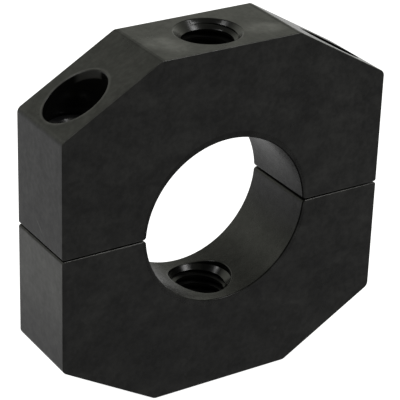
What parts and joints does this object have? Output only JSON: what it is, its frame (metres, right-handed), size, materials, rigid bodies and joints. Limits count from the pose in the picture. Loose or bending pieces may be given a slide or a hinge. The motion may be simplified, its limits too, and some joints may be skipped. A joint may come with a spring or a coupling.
{
  "type": "split clamp collar",
  "caption": "Octagonal split clamp collar for round tube: black halves drawn together by socket head screws, with a large tapped mounting hole in each end flat.",
  "frame": {"origin": "middle of the bore, half way through the thickness, on the plane where the two halves meet", "axes": "+Y along the bore; +Z from the lower half to the upper half, the way the screw heads face; +X across, so that the screws stand at -X and +X"},
  "size_m": [0.0762, 0.019, 0.0768],
  "materials": {
    "clamp_body": "black anodised, fine blasted satin",
    "screw_steel": "black oxide, lightly oiled"
  },
  "bodies": {
    "lower_half": {"lower_half": "clamp_body"},
    "upper_half": {"upper_half": "clamp_body"},
    "clamp_screw_left": {"clamp_screw_left": "screw_steel"},
    "clamp_screw_right": {"clamp_screw_right": "screw_steel"}
  },
  "joints": [
    {"name": "clamp_opening", "type": "slide", "parent": "lower_half", "child": "upper_half", "axis": [0, 0, 1], "range_m": [0, 0.012]},
    {"name": "left_screw_turn", "type": "hinge", "parent": "upper_half", "child": "clamp_screw_left", "pos_m": [-0.03014, 0, 0.01593], "axis": [0, 0, 1], "range_deg": [0, 3070]},
    {"name": "right_screw_turn", "type": "hinge", "parent": "upper_half", "child": "clamp_screw_right", "pos_m": [0.03014, 0, 0.01593], "axis": [0, 0, 1], "range_deg": [0, 3070]}
  ],
  "couplings": [
    {"joint": "left_screw_turn", "follows": "clamp_opening", "rad_per_m": 4452.8},
    {"joint": "right_screw_turn", "follows": "clamp_opening", "rad_per_m": 4452.8}
  ]
}
